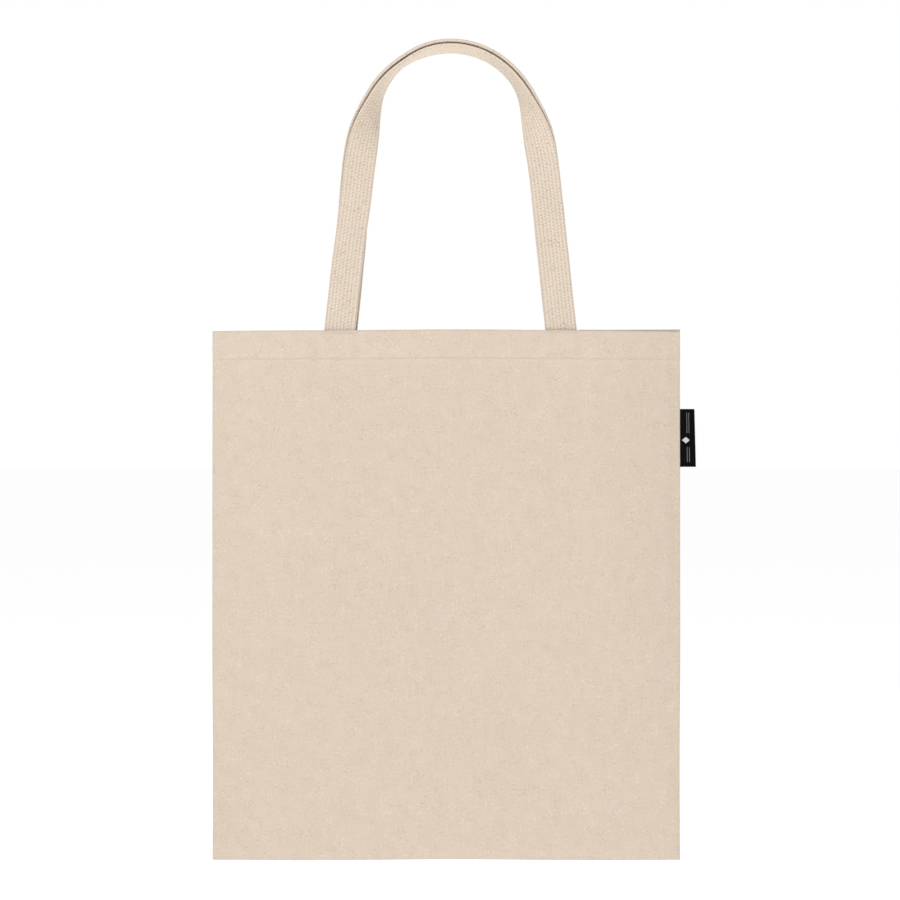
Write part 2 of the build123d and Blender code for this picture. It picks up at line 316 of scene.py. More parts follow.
def plain_weave(tree, place, pitch):
    """Height of a plain weave: yarns that pass over and under each other, a pitch apart."""
    wander = noise(tree, place, (4 * MM, 4 * MM, 4 * MM))
    shift = maths(tree, "MULTIPLY_ADD", wander, 0.5 * MM, -0.25 * MM)
    parts = add(tree, "SeparateXYZ", {0: place})
    turns = []
    for axis in (0, 1):
        moved = maths(tree, "ADD", parts.outputs[axis], shift)
        turns.append(maths(tree, "SINE", maths(tree, "MULTIPLY", moved, math.pi / pitch)))
    over = maths(tree, "MULTIPLY_ADD", maths(tree, "MULTIPLY", *turns), 2.0, 0.5)
    across, down = (maths(tree, "POWER", maths(tree, "ABSOLUTE", turn), 0.6) for turn in turns)
    over = maths(tree, "MINIMUM", maths(tree, "MAXIMUM", over, 0.0), 1.0)
    difference = maths(tree, "SUBTRACT", down, across)
    return maths(tree, "MULTIPLY_ADD", over, difference, across)


def start_material(name, roughness, sheen=0.0, specular=0.25):
    """A material with its uniform values on the shader itself, its tree, shader and cut-cloth place."""
    material = bpy.data.materials.new(name)
    material.use_nodes = True
    tree = material.node_tree
    shader = tree.nodes["Principled BSDF"]
    shader.inputs["Roughness"].default_value = roughness
    shader.inputs["Sheen Weight"].default_value = sheen
    shader.inputs["Sheen Roughness"].default_value = 0.5
    shader.inputs["Specular IOR Level"].default_value = specular
    place = add(tree, "Attribute", attribute_name="flat").outputs["Vector"]
    return material, tree, shader, place


def set_bump(tree, shader, layers):
    """Bump from several heights, each with its depth in metres."""
    normal = None
    for height, depth in layers:
        inputs = {"Height": height, "Strength": 1.0, "Distance": depth}
        if normal is not None:
            inputs["Normal"] = normal
        normal = add(tree, "Bump", inputs).outputs[0]
    tree.links.new(normal, shader.inputs["Normal"])


def canvas_material():
    material, tree, shader, place = start_material("canvas", 0.88, sheen=0.12)
    weft = noise(tree, place, (16 * MM, 0.9 * MM, 9 * MM), detail=3)
    warp = noise(tree, place, (0.9 * MM, 18 * MM, 9 * MM), detail=3)
    grain = noise(tree, place, (1.5 * MM, 1.5 * MM, 9 * MM), detail=3, roughness=0.75)
    cloud = noise(tree, place, (34 * MM, 48 * MM, 60 * MM), detail=4, roughness=0.55)
    patch = noise(tree, place, (8 * MM, 9 * MM, 30 * MM), detail=3)
    shade = tint(tree, ((weft, 0.10), (warp, 0.10), (grain, 0.20), (cloud, 0.06), (patch, 0.08)))
    warmth = noise(tree, place, (14 * MM, 12 * MM, 40 * MM), detail=3)
    base = mix(tree, "MIX", warmth, (0.668, 0.560, 0.470, 1), (0.680, 0.563, 0.434, 1))
    colour = mix(tree, "MULTIPLY", 1.0, base, shade)
    dark = specks(tree, place, 1.5 * MM, 0.60, 9.0)
    colour = mix(tree, "MIX", maths(tree, "MULTIPLY", dark, 0.26), colour, (0.40, 0.30, 0.20, 1))
    shifted = add(tree, "Mapping", {"Vector": place, "Location": (0.4, 0.7, 0)}).outputs[0]
    pale = specks(tree, shifted, 1.7 * MM, 0.60, 9.0)
    colour = mix(tree, "MIX", maths(tree, "MULTIPLY", pale, 0.28), colour, (0.84, 0.76, 0.66, 1))
    # painted shade: the canvas turns dark brown in the needle holes of the rows of stitches
    hole_shade = add(tree, "Attribute", attribute_name="hole_shade").outputs["Fac"]
    colour = mix(tree, "MIX", maths(tree, "MULTIPLY", hole_shade, 0.3), colour, (0.40, 0.31, 0.22, 1))
    # painted light: the hem band is made slightly lighter, as where it leans up into the light
    hem_light = add(tree, "Attribute", attribute_name="hem_light").outputs["Fac"]
    colour = mix(tree, "MULTIPLY", 1.0, colour, maths(tree, "MULTIPLY_ADD", hem_light, 0.014, 1.0))
    # painted shade along the folded edges: the canvas turns greyer and darker where the cloth folds away
    fold_shade = add(tree, "Attribute", attribute_name="fold_shade").outputs["Fac"]
    colour = mix(tree, "MULTIPLY", fold_shade, colour, (0.91, 0.98, 1.02, 1))
    tree.links.new(colour, shader.inputs["Base Color"])
    weave = plain_weave(tree, place, 0.56 * MM)
    set_bump(tree, shader, ((weave, 0.10 * MM), (weft, 0.08 * MM), (warp, 0.08 * MM), (grain, 0.08 * MM)))
    return material


def webbing_material():
    material, tree, shader, place = start_material("webbing", 0.9, sheen=0.15)
    relief = add(tree, "Attribute", attribute_name="relief").outputs["Fac"]
    fibre = noise(tree, place, (0.35 * MM, 2.2 * MM, 3 * MM), detail=3)
    cloud = noise(tree, place, (12 * MM, 30 * MM, 30 * MM), detail=3)
    shade = tint(tree, ((fibre, 0.20), (cloud, 0.10)))
    # painted shade in the weave: the webbing turns dark brown where its weave is low
    colour = mix(tree, "MIX", relief, (0.330, 0.250, 0.175, 1), (0.736, 0.630, 0.520, 1))
    colour = mix(tree, "MULTIPLY", 1.0, colour, shade)
    dark = specks(tree, place, 1.6 * MM, 0.62, 9.0)
    colour = mix(tree, "MIX", maths(tree, "MULTIPLY", dark, 0.4), colour, (0.36, 0.27, 0.18, 1))
    tree.links.new(colour, shader.inputs["Base Color"])
    set_bump(tree, shader, ((fibre, 0.12 * MM),))
    return material


def thread_material(name, first, second):
    material, tree, shader, place = start_material(name, 0.7, sheen=0.1)
    twist = noise(tree, place, (0.25 * MM, 0.25 * MM, 1 * MM))
    cloud = noise(tree, place, (30 * MM, 30 * MM, 5 * MM))
    colour = mix(tree, "MIX", cloud, first, second)
    colour = mix(tree, "MULTIPLY", 1.0, colour, tint(tree, ((twist, 0.2),)))
    tree.links.new(colour, shader.inputs["Base Color"])
    set_bump(tree, shader, ((twist, 0.05 * MM),))
    return material


def ribbon_material(name, dark, light):
    """Tightly woven ribbon, with fine ribs across it."""
    material, tree, shader, place = start_material(name, 0.6, specular=0.04)
    weave = plain_weave(tree, place, 0.28 * MM)
    grain = noise(tree, place, (0.5 * MM, 2.5 * MM, 3 * MM), detail=3)
    colour = mix(tree, "MIX", maths(tree, "MULTIPLY", weave, grain), dark, light)
    tree.links.new(colour, shader.inputs["Base Color"])
    set_bump(tree, shader, ((weave, 0.06 * MM),))
    return material


def floor_material():
    material = bpy.data.materials.new("floor")
    material.use_nodes = True
    shader = material.node_tree.nodes["Principled BSDF"]
    shader.inputs["Base Color"].default_value = (0.92, 0.92, 0.92, 1)
    shader.inputs["Roughness"].default_value = 0.9
    shader.inputs["Emission Color"].default_value = (1, 1, 1, 1)
    shader.inputs["Emission Strength"].default_value = 0.6
    return material


# ---- the cut cloth and the shape it is sewn into ----
def stitch_places(start, end):
    """Middles of the stitches of a row, evenly spaced and kept inside its ends."""
    count = int((end - start) / STITCH)
    spare = (end - start - count * STITCH) / 2
    return start + spare + STITCH * (np.arange(count) + 0.5)


def handle_middles(rear):
    shift = REAR_SHIFT if rear else 0.0
    return [side * handle_x + shift - BAG_X for side in (-1, 1)]


def rows_of(rear):
    """The visible rows of stitches: depth below the mouth, and the places along it."""
    reach = HALF - HEM_INSET
    rows = [(HEM_ROW, stitch_places(-reach, reach))]
    edge = WEB_WIDTH / 2 + EDGE_OVERRUN
    for middle in handle_middles(rear):
        rows.append((EDGE_ROW, stitch_places(middle - edge, middle + edge)))
    return rows


def nearest_hole(x, places):
    """Distance along the row to the nearest needle hole, which lies between two stitches."""
    first = places[0] - STITCH / 2
    count = len(places)
    step = np.clip(np.round((x - first) / STITCH), 0, count)
    return x - (first + step * STITCH)


def front_bow(x, drop):
    """How far the front stands forward of its seams, at a place across it and below the mouth."""
    share = np.clip(drop / HEIGHT, 0, 1)
    depth = BOW - (BOW - LEAST_BOW) * share**BOW_FALL
    depth = depth * smooth((HEIGHT - drop) / (10 * MM))
    run = HALF - FLAT_HALF
    past = np.clip(np.abs(x) - FLAT_HALF, 0, run) / run
    start = 1 - PINCH / run
    local = np.clip((past - start) / (1 - start), 0, 1)
    slope = 2 * start * (1 - start)
    turn = (2 * local**3 - 3 * local**2 + 1) * start**2
    turn = turn + (local**3 - 2 * local**2 + local) * slope + (3 * local**2 - 2 * local**3)
    return depth * (1 - np.where(past < start, past**2, turn))


def relief(x, drop, rear):
    """How far the cloth's surface stands out of its plain shape, and a mask of its needle holes for painted
    shade.
    """
    seed = 40 if rear else 10
    out = SWELL * waves(x, drop, seed, 7, 90 * MM, 260 * MM)
    out = out + RIPPLE * waves(x, drop, seed + 1, 9, 18 * MM, 45 * MM)
    edge = np.minimum(HALF - np.abs(x), HEIGHT - drop)
    out = out * smooth(edge / (30 * MM))
    pucker = waves(x, drop * 0.15, seed + 2, 6, 6 * MM, 13 * MM)
    seam_pucker = waves(x * 0.1, drop, seed + 3, 6, 7 * MM, 15 * MM)
    out = out + SEAM_PUCKER * seam_pucker * bell(edge - 4 * MM, 5 * MM)
    # mask of the needle holes, which the canvas darkens as painted shade
    hole_shade = np.zeros(np.broadcast(x, drop).shape)
    for depth, places in rows_of(rear):
        beside = smooth((places[-1] + STITCH - x) / STITCH) * smooth((x - places[0] + STITCH) / STITCH)
        out = out + ROW_PUCKER * pucker * bell(drop - depth, 5 * MM) * beside
        out = out - ROW_GROOVE * bell(drop - depth, 1.2 * MM) * beside
        hole = bell(nearest_hole(x, places), 0.5 * MM) * bell(drop - depth, 0.45 * MM) * beside
        out = out - HOLE_DEPTH * hole
        hole_shade = np.maximum(hole_shade, hole)
    out = out + HEM_PUFF * smooth((HEM_ROW - drop) / (5 * MM)) * smooth(drop / (2 * MM))
    out = out + HEM_STEP * smooth((HEM + 2.5 * MM - drop) / (4.5 * MM))
    out = out - EDGE_ROLL * bell(edge, 1.8 * MM)
    for middle in handle_middles(rear):
        over = smooth((WEB_WIDTH / 2 + 2.5 * MM - np.abs(x - middle)) / (4 * MM))
        out = out + HANDLE_PROUD * over * smooth((HEM + 1 * MM - drop) / (5 * MM))
    return out, hole_shade


def cloth(across, down, lift, rear):
    """Where a point of the cut cloth lies once the bag is sewn.

    across is counted from the panel's middle and down from the mouth's fold; past the side and bottom
    folds the cloth turns inwards as a seam's edge, and above the mouth it turns inwards as the hem.
    lift is the distance from the middle of the cloth, positive on its outer face.
    """
    reach = HALF - FOLD - CANVAS / 2
    past = np.abs(across) - reach
    turn = np.clip(past / FOLD, 0, math.pi)
    radius = FOLD + lift
    inwards = reach + radius * np.sin(turn) - np.maximum(past - math.pi * FOLD, 0)
    x = np.copysign(np.where(past > 0, inwards, np.abs(across)), across)
    deep = FOLD - radius * np.cos(turn)

    over = -down
    turn = np.clip(over / FOLD, 0, math.pi)
    rise = radius * np.sin(turn) - np.maximum(over - math.pi * FOLD, 0)
    drop = np.where(over > 0, FOLD + CANVAS / 2 - rise, FOLD + CANVAS / 2 + down)
    deep = deep + FOLD - radius * np.cos(turn)

    cut = HEIGHT - 2 * (FOLD + CANVAS / 2)
    under = down - cut
    turn = np.clip(under / FOLD, 0, math.pi)
    fall = radius * np.sin(turn) - np.maximum(under - math.pi * FOLD, 0)
    drop = np.where(under > 0, FOLD + CANVAS / 2 + cut + fall, drop)
    deep = deep + FOLD - radius * np.cos(turn) + 2 * lift

    out, hole_shade = relief(x, drop, rear)
    hidden = smooth((deep - CANVAS / 2) / (0.5 * MM))
    out = out * (1 - 0.6 * hidden)
    if rear:
        y = BACK_Y + CANVAS / 2 - deep + out
    else:
        y = EDGE_Y - CANVAS / 2 - front_bow(x, drop) + deep - out
    near_side = np.sign(x) * smooth((np.abs(x) - 0.1) / 0.08)
    sway_x = 0.25 * MM * waves(drop * 0, drop, 71, 4, 120 * MM, 400 * MM) * near_side
    z = MOUTH_Z - drop + 0.22 * MM * waves(x, x * 0, 72, 4, 120 * MM, 300 * MM)
    if rear:
        z = z + BACK_LIFT * smooth((x - handle_x - 8 * MM) / (14 * MM)) * smooth(1 - drop / (60 * MM))
    return np.stack([x + BAG_X + sway_x, y, z], -1), hole_shade


def ticks(stops, steps):
    """Grid lines through every stop, with about the given step between each pair of stops."""
    lines = [stops[0]]
    for start, end, step in zip(stops, stops[1:], steps):
        count = max(1, round((end - start) / step))
        lines.extend((start + (end - start) * (i + 1) / count) for i in range(count))
    return np.array(lines)


def sewn_panel(name, rear, nodes, material):
    """One panel with its hem and seam edges turned in, as one cut piece of cloth."""
    reach = HALF - FOLD - CANVAS / 2
    turn = math.pi * FOLD
    column = STITCH / 2
    places = rows_of(rear)[0][1]
    first, last = places[0] - STITCH / 2, places[-1] + STITCH / 2
    stops = [-reach - turn - ALLOWANCE, -reach - turn, -reach, first, last, reach, reach + turn]
    stops.append(reach + turn + ALLOWANCE)
    across = ticks(stops, (2.5 * MM, turn / 6, 1.2 * MM, column, 1.2 * MM, turn / 6, 2.5 * MM))
    top = FOLD + CANVAS / 2
    cut = HEIGHT - 2 * top
    spans = [  # where each band of rows starts, and the step between its rows
        (-turn - HEM + top, 2.6 * MM),
        (-turn, turn / 6),
        (0, 0.6 * MM),
        (EDGE_ROW - top - 1.2 * MM, 0.4 * MM),
        (EDGE_ROW - top + 1.2 * MM, 2 * MM),
        (HEM_ROW - top - 2.5 * MM, 0.42 * MM),
        (HEM_ROW - top + 1.8 * MM, 1 * MM),
        (HEM - top + 2 * MM, 3.4 * MM),
        (cut, turn / 6),
        (cut + turn, 2.5 * MM),
    ]
    starts, steps = zip(*spans)
    down = ticks(starts + (cut + turn + ALLOWANCE,), steps)
    a, b = np.meshgrid(across, down)
    outer, hole_shade = cloth(a, b, CANVAS / 2, rear)
    inner, _ = cloth(a, b, -CANVAS / 2, rear)
    middle_a = (a[:-1, :-1] + a[1:, 1:]) / 2
    middle_b = (b[:-1, :-1] + b[1:, 1:]) / 2
    past_side = np.abs(middle_a) - reach
    past_end = np.maximum(-middle_b, middle_b - cut)
    keep = ~((past_side > 0) & (past_end > 0) & (np.maximum(past_side, past_end) > turn / 2))
    keep &= ~((middle_b < -turn) & (np.abs(middle_a) > HALF - ALLOWANCE))
    if rear:
        outer, inner = outer[:, ::-1], inner[:, ::-1]
        a, b, hole_shade, keep = a[:, ::-1], b[:, ::-1], hole_shade[:, ::-1], keep[:, ::-1]
    points, faces, used = shell(outer, inner, keep)
    layer = np.full(a.size, 0.3 if rear else 0.0)
    flat = np.stack([a.ravel(), b.ravel(), layer], -1)
    # mask of the hem band, which the canvas paints lighter as painted light
    hem_light = smooth((HEM + 1 * MM - top - b) / (2 * MM)).ravel()
    # mask along the folds, where the canvas paints shade
    from_fold = np.minimum(np.abs(np.abs(a) - reach - turn / 2), np.abs(b + turn / 2))
    from_fold = np.minimum(from_fold, np.abs(b - cut - turn / 2))
    fold_shade = bell(from_fold, 1.3 * MM).ravel()
    attributes = {
        "flat": np.concatenate([flat, flat + [0, 0, 0.1]])[used],
        "hole_shade": np.concatenate([hole_shade.ravel(), np.zeros(a.size)])[used],
        "hem_light": np.concatenate([hem_light, hem_light])[used],
        "fold_shade": np.concatenate([fold_shade, fold_shade])[used],
    }
    made = mesh_object(name, points, faces, attributes, [material])
    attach(made, "bag")
    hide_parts(*nodes)
    return made


# ---- thread on the bag ----
def stitch_route(across, down, rear):
    """A stitch that rises out of one needle hole, lies on the cloth and sinks into the next."""
    share = np.linspace(-1, 1, 7)
    a = across + share * STITCH * 0.43
    lift = CANVAS / 2 + THREAD_RADIUS * (0.35 - 1.6 * np.abs(share) ** 4)
    points, _ = cloth(a, np.full(7, down), lift, rear)
    return points


def on_hem(depth):
    """The place on the cut cloth of the hem that lies behind a depth below the mouth."""
    return -math.pi * FOLD - (depth - FOLD - CANVAS / 2)


def thread_piece(name, routes, node, material, radius=THREAD_RADIUS):
    made = tubes(name, routes, radius, material)
    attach(made, "bag")
    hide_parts(node)
    return made


def row_stitches(name, rows, rear, node, material):
    """A row's stitches on the outside, and the bobbin thread's on the inside."""
    top = FOLD + CANVAS / 2
    routes = []
    for depth, places in rows:
        for place in places:
            routes.append(stitch_route(place, depth - top, rear))
            if abs(place) > HALF - ALLOWANCE - STITCH:
                continue
            covered = any(abs(place - middle) < WEB_WIDTH / 2 for middle in handle_middles(rear))
            inside = stitch_route(place, on_hem(depth), rear)
            if covered:
                inside[:, 1] += (-1 if rear else 1) * (WEB_PLY + WEB_RELIEF / 2)
            routes.append(inside)
    return thread_piece(name, routes, node, material)


def side_seam_routes(side):
    """Stitches between the two panels along a side seam."""
    routes = []
    x = BAG_X + side * (HALF - SEAM_ROW)
    y = EDGE_Y + SEAM_PLY / 2
    for z in stitch_places(BOTTOM_Z + 2 * MM, MOUTH_Z - 2 * MM):
        share = np.linspace(-1, 1, 5)
        bulge = side * SEAM_BULGE * (1 - share**2)
        routes.append(np.stack([x + bulge, np.full(5, y), z + share * STITCH * SEAM_REACH], -1))
    return routes


def bottom_seam_routes():
    """Stitches between the two panels along the bottom seam."""
    routes = []
    y = EDGE_Y + SEAM_PLY / 2
    for x in stitch_places(BAG_X - HALF + ALLOWANCE, BAG_X + HALF - ALLOWANCE):
        share = np.linspace(-1, 1, 5)
        z = BOTTOM_Z + SEAM_ROW - SEAM_BULGE * (1 - share**2)
        routes.append(np.stack([x + share * STITCH * SEAM_REACH, np.full(5, y), z], -1))
    return routes


def overlock_routes(start, end, raw, inner, place):
    """Thread that zigzags over a raw edge from face to face, and a chain that lies along the edge."""
    half = CANVAS + THREAD_RADIUS / 2
    middle = EDGE_Y + SEAM_PLY / 2
    points = []
    chain = []
    for along in stitch_places(start, end):
        points.append(place(along - STITCH / 4, inner, middle - half))
        points.append(place(along - STITCH / 8, raw, middle - half))
        points.append(place(along, raw, middle + half))
        points.append(place(along + STITCH / 4, inner, middle + half))
        points.append(place(along + STITCH / 8 * 3, raw, middle + half))
        points.append(place(along + STITCH / 2, raw, middle - half))
        chain.append(place(along, raw, middle))
        outside = raw + math.copysign(0.15 * MM, raw - inner)
        chain.append(place(along + STITCH / 2, outside, middle + 0.2 * MM))
    return [points, chain]


# ---- webbing ----
def path_point(along):
    """X, Z and the angle from upright at a distance along the webbing from the crown's middle."""
    side = math.copysign(1.0, along)
    run = abs(along)
    if run <= crown_arc:
        angle = math.pi / 2 - run / CROWN_RADIUS
        x = CROWN_RADIUS * math.cos(angle)
        z = WEB_PLY / 2 - CROWN_RADIUS * (1 - math.sin(angle))
    elif run <= crown_arc + shoulder_arc:
        angle = crown_end - (run - crown_arc) / SHOULDER_RADIUS
        x = crown_x + SHOULDER_RADIUS * (math.cos(angle) - math.cos(crown_end))
        z = crown_z - SHOULDER_RADIUS * (math.sin(crown_end) - math.sin(angle))
    else:
        angle = lean
        straight = run - crown_arc - shoulder_arc
        x = shoulder_x + straight * math.sin(lean)
        z = shoulder_z - straight * math.cos(lean)
    return side * x, z, side * angle


def twist(run):
    """How far the webbing has turned from facing forwards, 0, to facing into the arch, 90 degrees."""
    share, flat_end, flat_crown = (
        0.5 * (1 + math.tanh((TWIST_MIDDLE - place) / TWIST_LENGTH)) for place in (run, path_half, 0.0)
    )
    return math.pi / 2 * min(1.0, max(0.0, (share - flat_end) / (flat_crown - flat_end)))


def webbing_station(along, rear):
    """The webbing's middle, the direction across it and the direction that it faces."""
    x, z, angle = path_point(along)
    run = abs(along)
    turned = twist(run) + OVERTURN * bell(along + OVERTURN_PLACE, OVERTURN_LENGTH)
    x += (REAR_BEND if rear else FRONT_BEND) * bell(along + BEND_PLACE, BEND_LENGTH)
    side = math.copysign(1.0, along)
    leg = float(smooth((run - NEST_END / 2) / (path_half - NEST_END / 2)))
    inwards = np.array([-side * math.cos(angle), 0, -abs(math.sin(angle))])
    ahead = np.array([math.sin(angle), 0, -math.cos(angle)]) * side
    face = np.array([0, -1, 0]) * math.cos(turned) + inwards * math.sin(turned)
    middle = np.array([x, web_front_y * leg, z])
    if rear:
        spread = float(smooth((run - NEST_END) / (path_half - NEST_END)))
        apart = WEB_PLY + CROWN_GAP
        apart += (web_back_y - web_front_y - apart) * spread
        middle = middle - face * apart + np.array([REAR_SHIFT * spread, 0, 0])
    across = np.cross(ahead, face)
    return middle, across / np.linalg.norm(across), face


def weave_height(u, v):
    """Height, 0 to 1, of the webbing's weave: staggered floats of thick yarn between two smooth edges."""
    pitch = (WEB_WIDTH - 2 * SELVEDGE) / WEB_COLUMNS
    columns = (u + WEB_WIDTH / 2 - SELVEDGE) / pitch
    column = np.floor(columns)
    rows = v / FLOAT_LENGTH + 0.06 * np.sin(v / (37 * MM))
    place = rows + 0.5 * (column % 2) + 0.25 + 0.2 * (columns - column)
    place = place + 0.1 * np.sin(v / (8.7 * MM) + 2.1 * column)
    end = np.abs(2 * (place - np.floor(place)) - 1) ** 4
    groove = np.abs(2 * (columns - column) - 1) ** 3
    border = np.round(columns)
    beside = rows + 0.5 * (border % 2) + 0.3 * (columns - border)
    beside = beside + 0.1 * np.sin(v / (11.3 * MM) + 1.7 * border)
    number = np.floor(beside) + 17 * border
    uneven = 0.66 + 0.34 * np.sin(number * 12.9898) * np.cos(number * 4.1414)
    pit = bell(columns - border, 0.24) * bell(beside - np.floor(beside) - 0.5, 0.27)
    woven = 1 - 0.62 * uneven * pit - 0.38 * end - 0.14 * groove
    edge = smooth((np.abs(u) - WEB_WIDTH / 2 + SELVEDGE * 1.2) / (0.5 * MM))
    rib = 0.66 + 0.12 * np.sin(2 * math.pi * v / (FLOAT_LENGTH / 2))
    return woven * (1 - edge) + rib * edge


def webbing_ring():
    """Places round the webbing's section: across, height in half thicknesses, and which face."""
    count = 44
    inside = WEB_WIDTH / 2 - WEB_CORNER
    flat = [(-inside + 2 * inside * i / count, 1.0, 1) for i in range(count + 1)]
    turn = [(inside + WEB_CORNER * math.sin(t), math.cos(t), 0) for t in (0.6, 1.15, 2.0, 2.55)]
    back = [(-u, -1.0, -1) for u, _, _ in flat]
    return np.array(flat + turn + back + [(-u, -h, 0) for u, h, _ in turn])


def webbing_handle(name, rear, nodes, material):
    """A whole handle: its free loop and the two ends sewn inside the mouth, in one length of webbing."""
    reach = path_half + SEWN_LENGTH
    count = round(2 * reach / WEB_STEP)
    ring = webbing_ring()
    u, share, side = ring.T
    points = np.empty((count + 1, len(ring), 3))
    flat = np.empty((count + 1, len(ring), 3))
    weave_shade = np.empty((count + 1, len(ring)))
    random = np.random.default_rng(5 if rear else 3)
    phase = random.uniform(0, 2 * math.pi, 2)
    for i in range(count + 1):
        along = -reach + 2 * reach * i / count
        middle, across, face = webbing_station(along, rear)
        v = along + (0.4 * FLOAT_LENGTH if rear else 0.0)
        height = weave_height(u * np.where(side < 0, -1, 1), v + np.where(side < 0, FLOAT_LENGTH / 2, 0))
        width = 1 + 0.006 * math.sin(along / (23 * MM) + phase[0])
        width += 0.004 * math.sin(along / (7 * MM) + phase[1])
        depth = share * (WEB_PLY / 2 - WEB_RELIEF / 2) + np.sign(share) * height * WEB_RELIEF * (side != 0)
        points[i] = middle + np.outer(u * width, across) + np.outer(depth, face)
        layer = np.where(side < 0, 0.2, 0.0) + (0.5 if rear else 0.0)
        flat[i] = np.stack([u, np.full(len(u), v), layer], -1)
        # the weave's height, kept for painted shade, with the rounded edges at a fixed 0.88
        weave_shade[i] = np.where(side == 0, 0.88, height)
    size = len(ring)
    number = np.arange((count + 1) * size).reshape(count + 1, size)
    ahead = np.roll(number, -1, axis=1)
    cells = np.stack([number[:-1], ahead[:-1], ahead[1:], number[1:]], -1).reshape(-1, 4).tolist()
    cells.append(number[0, ::-1].tolist())
    cells.append(number[-1].tolist())
    attributes = {"flat": flat.reshape(-1, 3), "relief": weave_shade.ravel()}
    made = mesh_object(name, points.reshape(-1, 3), cells, attributes, [material])
    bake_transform(made)
    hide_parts(*nodes)
    return made


# ---- label ----
label_y = (label_low[1] + label_high[1]) / 2
label_top = label_high[2]
label_height = label_high[2] - label_low[2]
seam_x = BAG_X + HALF
label_reach = label_high[0] - seam_x
label_turn = 0.33 * MM  # radius of the label's fold, at the middle of the ribbon
label_run = LABEL_TAIL + label_reach - label_turn - LABEL_PLY / 2
SEAM_PLACE = label_run + math.pi / 2 * label_turn - LABEL_TAIL  # the seam, along the ribbon from its fold
MARK_LOW = LABEL_PLY / 2 - 0.02 * MM
MARK_HIGH = LABEL_PLY / 2 + 0.07 * MM


def ribbon(along, drop, lift):
    """Where a point of the label's ribbon lies: along it from the fold's middle, and down from its top."""
    turn = math.pi / 2 * label_turn
    past = np.maximum(np.abs(along) - turn, 0)
    angle = np.clip(np.abs(along) / label_turn, 0, math.pi / 2)
    radius = label_turn + lift
    flare = LABEL_FLARE * (drop / label_height - 0.35)
    out = seam_x + label_reach - label_turn - LABEL_PLY / 2 + flare * smooth((12 * MM - past) / (12 * MM))
    x = out + radius * np.cos(angle) - past
    free = smooth((x - seam_x) / (4 * MM))
    puff = 0.25 * MM * np.sin(math.pi * np.clip(past / label_run, 0, 1)) * free
    sway = 0.35 * MM * np.sin(drop / label_height * 2.2 + 0.4) * smooth((x - seam_x) / (12 * MM))
    y = label_y - np.copysign(1.0, along) * (radius * np.sin(angle) + puff) - sway
    return np.stack([x, y, label_top - drop], -1)


def ribbon_patch(along, drop, low, high):
    a, d = np.meshgrid(along, drop)
    outer = ribbon(a, d, high)
    inner = ribbon(a, d, low)
    keep = np.ones((len(drop) - 1, len(along) - 1), bool)
    points, faces, used = shell(outer[:, ::-1], inner[:, ::-1], keep)
    flat = np.stack([a[:, ::-1].ravel(), d[:, ::-1].ravel(), np.zeros(a.size)], -1)
    return points, faces, np.concatenate([flat, flat + [0, 0, 0.1]])[used]


def blend_label(made):
    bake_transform(made)
    return made


def side_label(material):
    """A ribbon folded in half, with its two ends together in the seam."""
    reach = math.pi / 2 * label_turn + label_run
    turn = math.pi / 2 * label_turn
    along = ticks([-reach, -turn, turn, reach], (0.45 * MM, turn / 6, 0.45 * MM))
    drop = np.linspace(0, label_height, 96)
    points, faces, flat = ribbon_patch(along, drop, -LABEL_PLY / 2, LABEL_PLY / 2)
    made = mesh_object("side_label_ribbon", points, faces, {"flat": flat}, [material])
    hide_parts("side_label", "label_tail")
    return blend_label(made)


def label_mark(name, groups, material):
    """Patches woven into the label's front, joined in one mesh."""
    points, faces, flats = [], [], []
    for part, cells, flat in groups:
        faces += [tuple(i + len(points) for i in cell) for cell in cells]
        points += part.tolist()
        flats += flat.tolist()
    made = mesh_object(name, np.array(points), faces, {"flat": np.array(flats)}, [material])
    return blend_label(made)


def label_stripes(material):
    """Two plain stripes above the lozenge and two below it."""
    groups = []
    for top, bottom in STRIPE_SPANS:
        for out in STRIPES_OUT:
            middle = SEAM_PLACE - out
            along = np.linspace(middle - STRIPE_HALF, middle + STRIPE_HALF, 3)
            groups.append(ribbon_patch(along, np.arange(top, bottom, 0.5 * MM), MARK_LOW, MARK_HIGH))
    return label_mark("label_stripes", groups, material)


def label_lozenge(material):
    side = np.linspace(-1, 1, 9)
    a, b = np.meshgrid(side, side)
    along = SEAM_PLACE - LOZENGE_OUT + (a + b) / 2 * LOZENGE_HALF[0]
    drop = LOZENGE_DROP + (a - b) / 2 * LOZENGE_HALF[1]
    outer = ribbon(along, drop, MARK_HIGH)
    inner = ribbon(along, drop, MARK_LOW)
    points, faces, used = shell(outer, inner, np.ones((8, 8), bool))
    flat = np.stack([along.ravel(), drop.ravel(), np.zeros(81)], -1)
    return label_mark("label_lozenge", [(points, faces, np.concatenate([flat, flat])[used])], material)


# ---- stage ----
def make_camera():
    camera = bpy.data.objects.new("camera", bpy.data.cameras.new("camera"))
    bpy.context.scene.collection.objects.link(camera)
    camera.location = (-CAMERA_LEFT, front_low[1] - CAMERA_BACK, MOUTH_Z - CAMERA_DROP)
    camera.rotation_euler = (math.pi / 2, 0, 0)
    camera.data.sensor_width = 36
    camera.data.lens = CAMERA_LENS
    camera.data.clip_start = 0.05
    camera.data.clip_end = 200
    bpy.context.scene.camera = camera


def make_light(name, place, target, width, power):
    light = bpy.data.lights.new(name, "AREA")
    light.shape = "SQUARE"
    light.size = width
    light.energy = power
    lamp = bpy.data.objects.new(name, light)
    bpy.context.scene.collection.objects.link(lamp)
    lamp.location = place
    lamp.rotation_euler = (Vector(target) - Vector(place)).to_track_quat("-Z", "Y").to_euler()
    lamp.visible_camera = False


